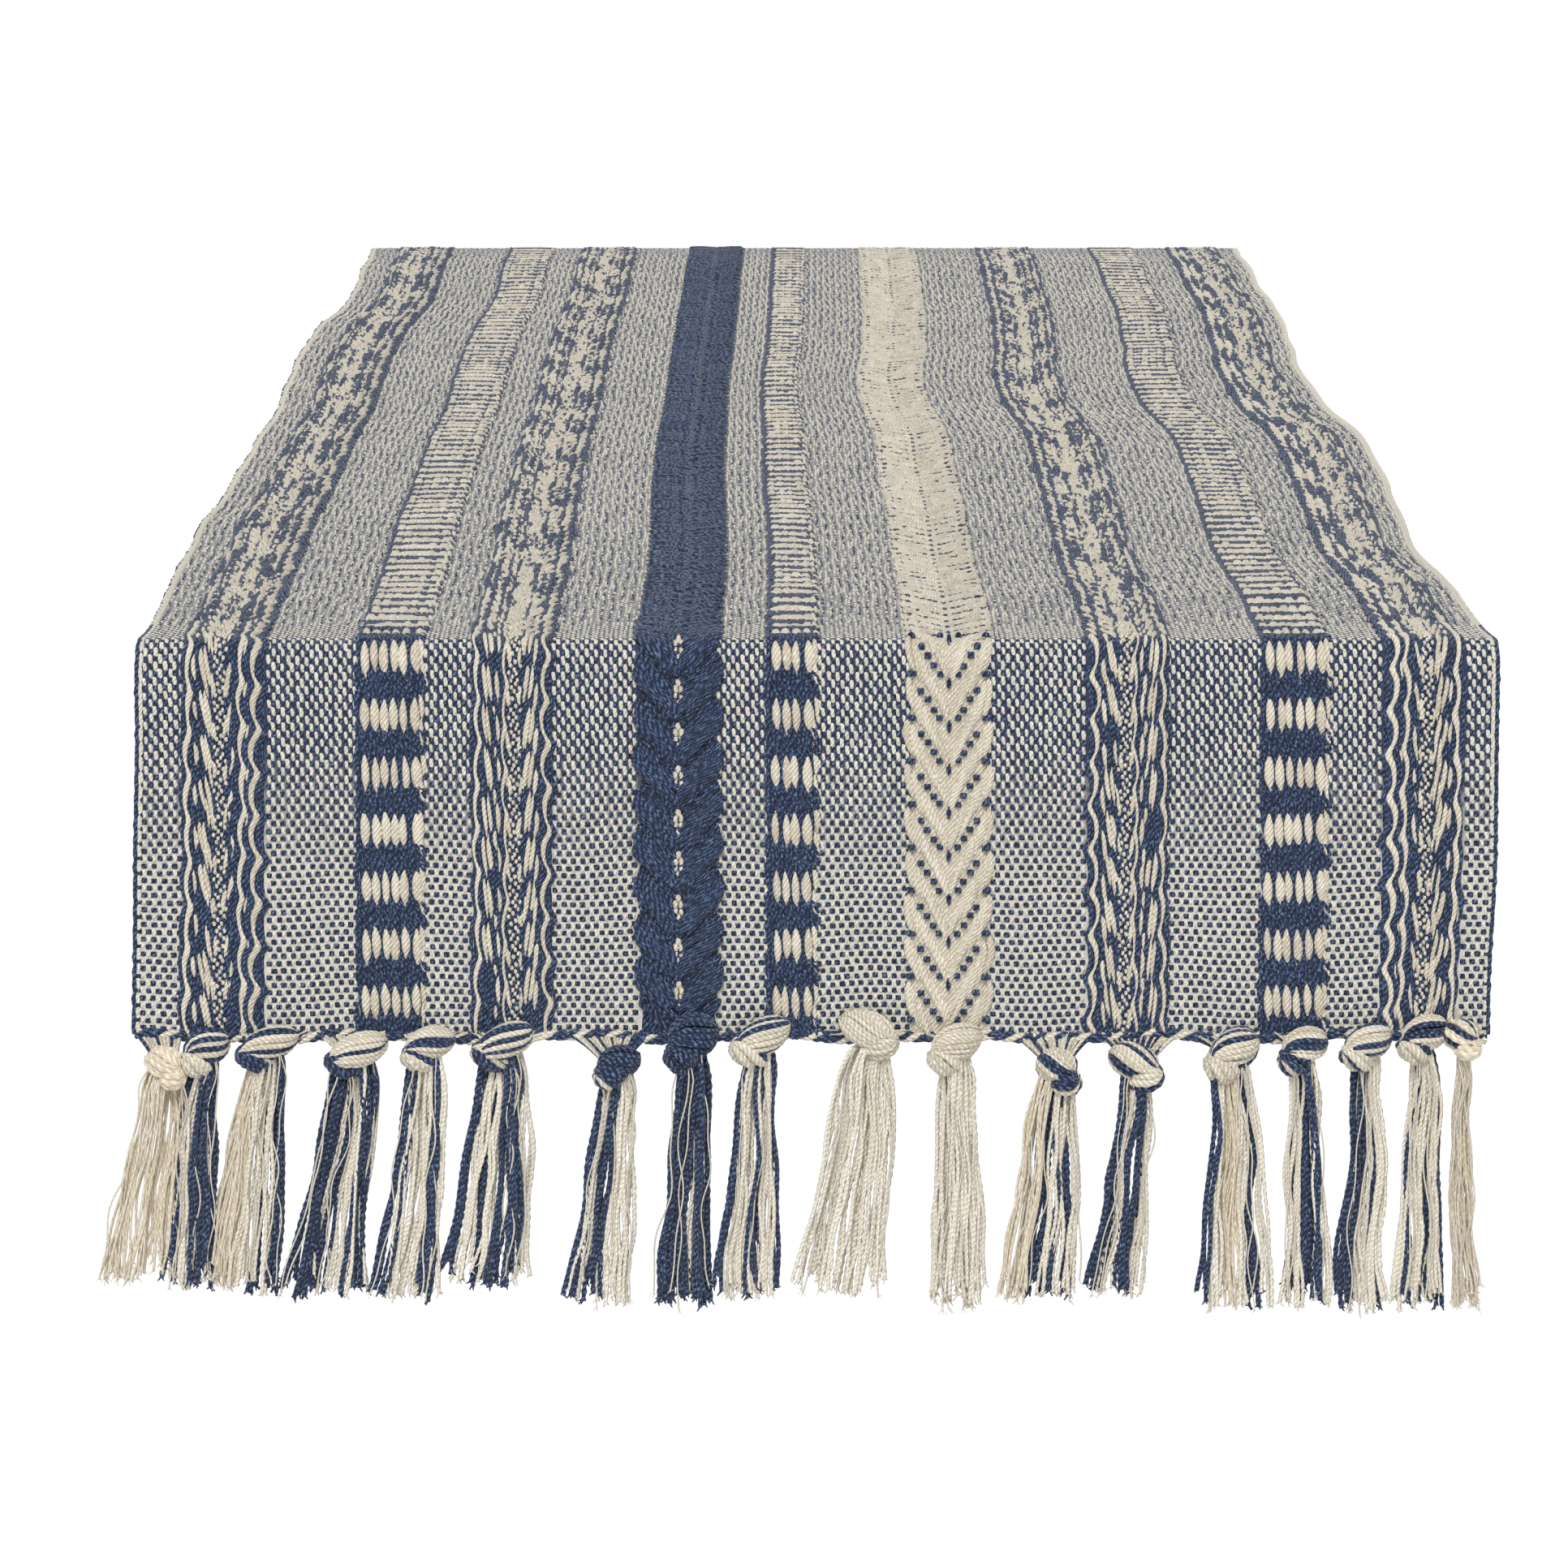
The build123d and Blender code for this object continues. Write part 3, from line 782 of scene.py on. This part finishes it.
def gathers(patches, look, centre, low, high, end, fine):
    """The warps between the woven end and a knot, drawn in from either side along the edge."""
    side = ENDS[end]
    u = np.arange(low, high, 1.15 if fine else 2.3)
    count = len(u)
    if count == 0:
        return
    inside = CLOTH_END - 0.2 - random(count, low=0, high=1) ** 2
    top = place(u, inside, 0.9 + 0.3 * random(count), end)
    goal = np.array([centre[0], centre[1], centre[2] + look.lift + 0.3 * look.height])
    away = (u - centre[0]) / max(1.0, (high - low) / 2)
    finish = goal + np.stack([0.26 * look.width * away, 1.5 * random(count), -0.8 * np.abs(away)], axis=-1)
    t = np.linspace(0, 1, 9)[None, :, None]
    reach, drop = (finish - top)[:, 0], np.minimum((finish - top)[:, 2], 0)
    bend = np.stack([0.55 * reach, side * 1.6 + 0 * u, 0.25 * drop - 0.6], axis=-1)
    lines = (1 - t) ** 2 * top[:, None] + t * t * finish[:, None]
    lines = lines + 2 * t * (1 - t) * (top + bend)[:, None]
    for letter in "CN":
        chosen = np.array([colour_at(value, index) == letter for index, value in enumerate(u)])
        if chosen.any():
            tubes(
                patches, lines[chosen], 0.55 + 0.12 * random(int(chosen.sum()), 1), sides=6 if fine else 4,
                twist=2.0, lobes=0.12, slot=YARN_SLOTS[letter],
            )


def colour_at(u, index):
    """The colour of the warps at a place across the cloth."""
    for centre, width in NAVY_CHEVRON:
        if abs(u - centre) < width / 2:
            return "N"
    for centre, width in BRAIDS + BLOCKS:
        if abs(u - centre) < width / 2:
            return "N" if index % 2 == 0 else "C"
    return "N" if index % 4 == 0 else "C"


def wander(t, size, waves):
    """A smooth sideways wander along a yarn that hangs from t = 0, one row for each of waves."""
    rise = np.minimum(t / 0.12, 1)
    first = np.sin(2 * math.pi * waves * t + 3 * random(*waves.shape))
    second = np.sin(2 * math.pi * 2.1 * waves * t + 3 * random(*waves.shape))
    return size * rise * (0.7 * first + 0.35 * second)


def tassel(name, look, hinge, box, end, fine):
    """Loose yarns from inside the knot to their uneven ends, lying in locks of one colour."""
    low, high = box
    tip_middle, tip_half = (low[0] + high[0]) / 2, (high[0] - low[0]) / 2
    t = np.linspace(0, 1, 52 if fine else 16)[None, :]
    full = tip_half * (0.3 + 0.12 * (1 - np.exp(-t / 0.07)) + 0.42 * t)
    sway = wander(t, 1.0, random(1, 1, low=0.5, high=1.0))
    top, bottom = hinge[2] + 2.5, low[2] - 1.5
    patches = Patches()

    def hang_yarns(letter, q, reach, depth, radius, waves, end_at):
        """Yarns at the places q, -1 to 1 across the tassel, that end at this share of its length."""
        count = len(q)
        own = wander(t, reach, random(count, 1, low=waves / 2, high=waves))
        x = hinge[0] + (tip_middle - hinge[0]) * t ** 1.1 + q * full + sway + own
        y = hinge[1] + ENDS[end] * (depth * (1 - 0.35 * t) + 0.4 * own)
        z = top + (bottom - top) * end_at * t
        lines = np.stack(np.broadcast_arrays(x, y, z), axis=-1)
        silky = letter == "S" or radius < 0.3
        tubes(
            patches, lines, radius * (1 + 0.14 * random(count, 1)), sides=7 if fine and not silky else 4,
            twist=0 if silky else 1.15, lobes=0 if silky else 0.25, slot=YARN_SLOTS[letter],
        )
        if fine:
            fray(patches, lines[:, -1], radius, YARN_SLOTS[letter])

    for index, letter in enumerate(look.yarns):
        count = YARNS_PER_LETTER[letter]
        place_in = (index + 0.5) / len(look.yarns) * 2 - 1 + 0.1 * float(random())
        clump = 0.75 + 0.45 * (t - 0.45) ** 2 * 4
        q = place_in + np.linspace(-1, 1, count)[:, None] / len(look.yarns) * clump
        lock = wander(t, 0.9, random(1, 1, low=0.7, high=1.4)) / tip_half
        short = 0.99 - 0.05 * float(random(low=0, high=1)) - 0.09 * random(count, 1, low=0, high=1) ** 2
        depth = 2.4 * float(random()) + 0.8 * random(count, 1)
        reach = 0.6 if letter == "N" else 0.95
        hang_yarns(letter, q + lock, reach, depth, YARN_RADIUS[letter], 1.6, short)
    strays = 4 if fine else 3
    q = random(strays, 1, low=-1.05, high=1.05)
    hang_yarns("C", q, 1.4, 2.8, 0.22, 1.8, 1 - 0.12 * random(strays, 1, low=0, high=1))
    return patches.make(name, BRIGHTENED_TASSEL_CREAM, NAVY, SILK)


def fray(patches, tips, radius, slot):
    """The loose fibres that open out at the cut ends of yarns."""
    t = np.linspace(0, 1, 4)[None, :, None]
    for _ in range(3):
        count = len(tips)
        away = np.stack([0.7 * random(count), 0.6 * random(count), -1.4 - 0.9 * random(count)], axis=-1)
        lines = tips[:, None] + (0, 0, 0.8) + away[:, None] * t + away[:, None] * (1, 1, 0) * t * t
        tubes(patches, lines, radius * (0.55 - 0.3 * t[..., 0]), sides=4, slot=slot)


def edge_cord(name, end, fine):
    """Two cords twined together under the woven end."""
    rows = 620 if fine else 300
    u = np.linspace(-HALF_WIDTH + 1, HALF_WIDTH - 1, rows)
    patches = Patches()
    for index, slot in enumerate((YARN_SLOTS["N"], YARN_SLOTS["C"], YARN_SLOTS["N"])):
        angle = u * 2 * math.pi / 9.5 + index * 2 * math.pi / 3
        sag = 0.6 * np.sin(u / 9) + 0.35 * np.sin(u / 4.1)
        below = CLOTH_END + 0.5 + sag + 0.8 * np.cos(angle)
        line = place(u, below, THICKNESS / 2 + 0.8 * np.sin(angle), end)
        tubes(patches, line[None], 0.95, sides=7 if fine else 5, twist=1.5, lobes=0.1, slot=slot)
    return patches.make(name, CREAM, NAVY, SILK)


# ---- materials
def rgb(red, green, blue):
    """A screen colour as the linear colour that shaders take."""
    linear = [((c / 255 + 0.055) / 1.055) ** 2.4 if c > 10 else c / 255 / 12.92 for c in (red, green, blue)]
    return (*linear, 1.0)


class Nodes:
    """A material's node tree, with short ways to add and join nodes."""

    def __init__(self, name):
        self.material = bpy.data.materials.new(name)
        self.material.use_nodes = True
        self.tree = self.material.node_tree
        self.tree.nodes.clear()
        self.shader = self.tree.nodes.new("ShaderNodeBsdfPrincipled")
        output = self.tree.nodes.new("ShaderNodeOutputMaterial")
        self.tree.links.new(self.shader.outputs[0], output.inputs[0])

    def add(self, kind, inputs=(), **settings):
        node = self.tree.nodes.new(kind)
        for key, value in settings.items():
            setattr(node, key, value)
        for socket, value in dict(inputs).items():
            self.put(value, node.inputs[socket])
        return node

    def put(self, value, socket):
        if isinstance(value, bpy.types.NodeSocket):
            self.tree.links.new(value, socket)
        else:
            socket.default_value = value

    def math(self, operation, first, second=0.0):
        return self.add("ShaderNodeMath", {0: first, 1: second}, operation=operation).outputs[0]

    def times(self, first, second):
        return self.math("MULTIPLY", first, second)

    def plus(self, first, second):
        return self.math("ADD", first, second)

    def sine(self, value, period):
        return self.math("SINE", self.times(value, 2 * math.pi / period))

    def clamped(self, value, high=1.0):
        return self.math("MINIMUM", self.math("MAXIMUM", value, 0.0), high)

    def blend(self, share, first, second):
        node = self.add("ShaderNodeMix", {0: share, 6: first, 7: second}, data_type="RGBA")
        return node.outputs[2]

    def cloth(self):
        """The cloth coordinates: both in one, the one across, and the one along."""
        both = self.add("ShaderNodeUVMap", uv_map="cloth").outputs[0]
        parts = self.add("ShaderNodeSeparateXYZ", {0: both})
        return both, parts.outputs[0], parts.outputs[1]

    def noise(self, vector, scale, detail, stretch=None):
        if stretch is not None:
            scaled = self.add("ShaderNodeVectorMath", {0: vector, 1: stretch}, operation="MULTIPLY")
            vector = scaled.outputs[0]
        inputs = {"Vector": vector, "Scale": scale, "Detail": detail}
        return self.add("ShaderNodeTexNoise", inputs).outputs[0]

    def finish(self, colour, height, strength, distance, roughness, sheen, specular=0.5):
        """Joins up the shader and gives back the material."""
        bump = self.add("ShaderNodeBump", {"Strength": strength, "Distance": distance, "Height": height})
        self.put(colour, self.shader.inputs["Base Color"])
        self.put(bump.outputs[0], self.shader.inputs["Normal"])
        self.shader.inputs["Roughness"].default_value = roughness
        self.shader.inputs["Sheen Weight"].default_value = sheen
        self.shader.inputs["Specular IOR Level"].default_value = specular
        return self.material


def yarn_material(name, dark, light, fleck_and_highlight, pitch=1.5, lean=0.55, roughness=0.85, sheen=0.2):
    """Spun cotton: plies that wind round the yarn, with painted shade in their grooves, fibres along it
    with light flecks that are partly painted highlights, and each yarn its own tone, which in the
    navy chevron is painted shade.
    """
    n = Nodes(name)
    uv, across, along = n.cloth()
    wound = n.plus(n.times(along, 1 / pitch), n.times(across, lean))
    ply = n.math("SINE", n.times(wound, 2 * math.pi))
    fibre = n.noise(uv, 1.0, 3.0, stretch=(1.9, 0.75, 1.0))
    slubs = n.noise(uv, 0.22, 2.0)
    tone = n.add("ShaderNodeAttribute", attribute_name="tone").outputs["Fac"]
    shade = n.plus(n.times(tone, 0.55), n.times(slubs, 0.6))
    base = n.blend(n.math("SUBTRACT", shade, 0.08), dark, light)
    # painted shade: the grooves between the plies are darkened towards the dark colour
    painted_groove_shade = n.math("MAXIMUM", n.times(ply, -0.7), 0.0)
    shaded = n.blend(painted_groove_shade, base, dark)
    # light flecks: lighter fibres, drawn more where the fibre noise and the ply crests are raised, so
    # partly a painted highlight
    spots = n.times(n.math("SUBTRACT", n.plus(fibre, n.times(ply, 0.07)), 0.52), 5.5)
    coloured = n.blend(n.clamped(spots, 0.8), shaded, fleck_and_highlight)
    height = n.plus(n.times(ply, 0.5), n.times(fibre, 0.8))
    return n.finish(coloured, height, 0.8, 0.0003, roughness, sheen, 0.25)


def cloth_material():
    """The plain weave below the raised yarns: navy wefts, with cream picks between them."""
    n = Nodes("ground_cloth_weave")
    uv, u, s = n.cloth()
    checks = n.times(n.sine(u, WARP_PAIR), n.sine(s, 2 * PICK))
    noise = n.noise(uv, 0.6, 3.0)
    lower = n.times(n.math("SUBTRACT", s, CREAM_PICKS_FROM - LIGHTENING / 2), 1 / LIGHTENING)
    on_table = n.math("MINIMUM", n.times(s, -0.1), 0.35)
    creamy = n.clamped(n.math("MAXIMUM", lower, on_table))
    creamy = n.times(creamy, n.plus(n.times(noise, 0.4), 0.7))
    picks = n.blend(creamy, rgb(46, 54, 80), rgb(210, 205, 192))
    weave = n.times(checks, n.math("SUBTRACT", 1.05, creamy))
    coloured = n.blend(n.clamped(weave, 0.75), picks, rgb(40, 48, 72))
    return n.finish(coloured, checks, 0.5, 0.0003, 0.9, 0.2)


def reverse_material():
    """The underside: an even check of both yarns, and the backs of the bands in their own colours."""
    n = Nodes("reverse_weave")
    uv, u, s = n.cloth()
    warp_wave = n.sine(u, WARP_PAIR / 2)
    checks = n.times(warp_wave, n.sine(s, 2 * PICK))
    noise = n.noise(uv, 0.7, 3.0)
    streaks = n.noise(uv, 1.0, 1.0, stretch=(0.7, 0.12, 1.0))
    blocks = n.sine(s, BLOCK_REPEAT)
    navy = n.blend(noise, rgb(24, 32, 58), rgb(62, 78, 112))
    cream = n.blend(noise, rgb(186, 178, 160), rgb(228, 221, 204))
    shares = (
        (BRAIDS, n.times(n.math("SUBTRACT", streaks, 0.47), 14.0)),
        (BLOCKS, n.times(n.plus(blocks, n.times(warp_wave, 0.25)), 6.0)),
        (NAVY_CHEVRON, n.times(n.plus(checks, -0.7), 1.5)),
        (CREAM_CHEVRON, n.plus(n.times(checks, 0.5), 0.9)),
    )
    share = n.plus(n.times(checks, 2.0), n.plus(noise, 0.05))
    for strips, band_share in shares:
        for centre, width in strips:
            away = n.math("ABSOLUTE", n.math("SUBTRACT", u, centre))
            inside = n.math("LESS_THAN", away, width / 2)
            outside = n.math("SUBTRACT", 1.0, inside)
            share = n.plus(n.times(share, outside), n.times(band_share, inside))
    return n.finish(n.blend(n.clamped(share), navy, cream), checks, 0.7, 0.0004, 0.9, 0.2)


def floor_material():
    """A plain pale floor."""
    n = Nodes("studio_floor")
    spot = n.add("ShaderNodeTexNoise", {"Scale": 0.4, "Detail": 1.0}).outputs[0]
    n.put(n.blend(spot, (0.93, 0.93, 0.93, 1), (0.95, 0.95, 0.95, 1)), n.shader.inputs["Base Color"])
    n.shader.inputs["Roughness"].default_value = 1.0
    n.shader.inputs["Specular IOR Level"].default_value = 0.0
    return n.material


CREAM = yarn_material(
    "cream_cotton", rgb(178, 167, 146), rgb(234, 226, 208), rgb(246, 241, 228), sheen=0.25
)
GROUND_CREAM = yarn_material(
    "cream_ground_cotton", rgb(190, 184, 168), rgb(234, 228, 211), rgb(247, 242, 228)
)
NAVY = yarn_material(
    "navy_cotton", rgb(15, 21, 41), rgb(42, 57, 90), rgb(108, 132, 170), pitch=1.7, lean=0.5
)
# a lighter copy of the cream for the tassels: painted light, which offsets the shade between their yarns
BRIGHTENED_TASSEL_CREAM = yarn_material(
    "brightened_cream_tassel_cotton", rgb(204, 194, 174), rgb(244, 237, 222), rgb(250, 246, 236), sheen=0.3
)
SILK = yarn_material(
    "silky_cream_cotton", rgb(200, 185, 158), rgb(236, 224, 202), rgb(250, 243, 228),
    pitch=2.6, lean=0.3, roughness=0.6, sheen=0.3,
)
CLOTH = cloth_material()
REVERSE = reverse_material()


# ---- putting the object together
def hang(pieces):
    """Bakes each piece's transform into its mesh."""
    for piece in pieces:
        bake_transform(piece)


def replace_bands(made, prefix):
    """Hides the CAD node of each kind of band that was made, for the bands to take its place."""
    for kind, pieces in made.items():
        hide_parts(f"{prefix}_{kind}_band" + ("" if "chevron" in kind else "s"))


def end_piece(end, fine):
    """One hanging end with the first of the cloth on the table, its knots and its tassels."""
    start, stop = (END_START, CLOTH_END) if end == "front" else (BACK_END, MIDDLE_START)
    part = Part(end, start, stop, fine)
    cloth = base_cloth(f"{end}_cloth", end, END_START, CLOTH_END)
    yarns = ground(end, part)
    made = bands(end, part)
    hang([cloth, *yarns, *sum(made.values(), [])])
    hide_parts(f"{end}_drop_cloth", f"{end}_bend")
    replace_bands(made, end)

    cord = edge_cord(f"{end}_twined_cord", end, fine)
    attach(cord, f"{end}_drop")
    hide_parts(f"{end}_edge_cord")

    looks = FRONT_LOOKS if end == "front" else BACK_LOOKS
    hinges = [JOINTS[f"{end}_tassel_{number:02d}_swing"] for number in range(1, TASSELS + 1)]
    edges = [-HALF_WIDTH + 1]
    edges += [(before[0] + after[0]) / 2 for before, after in zip(hinges, hinges[1:])]
    edges += [HALF_WIDTH - 1]
    knots, drawn = Patches(), Patches()
    for index, (look, hinge) in enumerate(zip(looks, hinges)):
        knot(knots, look, hinge, ENDS[end], fine)
        gathers(drawn, look, hinge, edges[index], edges[index + 1], end, fine)
        name = f"{end}_tassel_{index + 1:02d}"
        bundle = tassel(f"{name}_yarns", look, hinge, node_box(name), end, fine)
        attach(bundle, name)
        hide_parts(name)
    knot_piece = knots.make(f"{end}_knot_yarns", CREAM, NAVY, SILK)
    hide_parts(f"{end}_knots")
    drawn_piece = drawn.make(f"{end}_gathered_warps", CREAM, NAVY, SILK)
    for piece in (knot_piece, drawn_piece):
        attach(piece, f"{end}_drop")


def middle_piece():
    """The cloth on the table between the two end pieces."""
    cloth = base_cloth("top_middle_cloth", "front", MIDDLE_START, END_START)
    yarns = []
    ends = (END_START, -420.0, -920.0, MIDDLE_START)    # three stretches, to keep the meshes small
    for word, start, stop in zip(("near", "far", "back"), ends[1:], ends):
        yarns += ground(f"top_{word}", Part("front", start, stop, False))
    made = bands("top", Part("front", MIDDLE_START, END_START, False))
    for piece in [cloth, *yarns, *sum(made.values(), [])]:
        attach(piece, "table_span")
    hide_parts("top_cloth")
    replace_bands(made, "top")


# ---- studio
SKY_LIGHT = 0.45  # the white surroundings light the cloth less brightly than they show
FLOOR_BELOW = 1.0  # the runner hangs this far above the floor, so its shadow is out of the picture
SUNS = (("key_light", 42, -5, 2.42), ("back_light", -50, 20, 0.4))  # name, tilt, turn, strength
SUN_WIDTH = 28
CAMERA_PLACE = (-0.0087, -3.286, 0.3065)
CAMERA_DOWN = 7.71
CAMERA_LENS = 209.9


def studio():
    """The floor, the white surroundings, two soft suns and the camera."""
    bpy.ops.mesh.primitive_plane_add(size=200, location=(0, 40, -FLOOR_BELOW))
    floor = bpy.context.object
    floor.name = "studio_floor"
    floor.data.materials.append(floor_material())

    scene = bpy.context.scene
    world = bpy.data.worlds.new("studio")
    world.use_nodes = True
    tree = world.node_tree
    rays = tree.nodes.new("ShaderNodeLightPath")
    brightness = tree.nodes.new("ShaderNodeMapRange")
    brightness.inputs["To Min"].default_value = SKY_LIGHT
    brightness.inputs["To Max"].default_value = 1.0
    tree.links.new(rays.outputs["Is Camera Ray"], brightness.inputs["Value"])
    tree.links.new(brightness.outputs[0], tree.nodes["Background"].inputs["Strength"])
    tree.nodes["Background"].inputs["Color"].default_value = (1, 1, 1, 1)
    scene.world = world
    scene.view_settings.view_transform = "Standard"

    for name, tilt, turn, strength in SUNS:
        light = bpy.data.lights.new(name, "SUN")
        light.energy = strength
        light.angle = math.radians(SUN_WIDTH)
        lamp = bpy.data.objects.new(name, light)
        lamp.rotation_euler = (math.radians(tilt), 0, math.radians(turn))
        scene.collection.objects.link(lamp)

    camera = bpy.data.objects.new("camera", bpy.data.cameras.new("camera"))
    camera.data.sensor_width = 36
    camera.data.lens = CAMERA_LENS
    camera.data.clip_end = 400
    camera.location = CAMERA_PLACE
    camera.rotation_euler = (math.radians(90 - CAMERA_DOWN), 0, 0)
    scene.collection.objects.link(camera)
    scene.camera = camera


studio()
end_piece("front", True)
middle_piece()
end_piece("back", False)
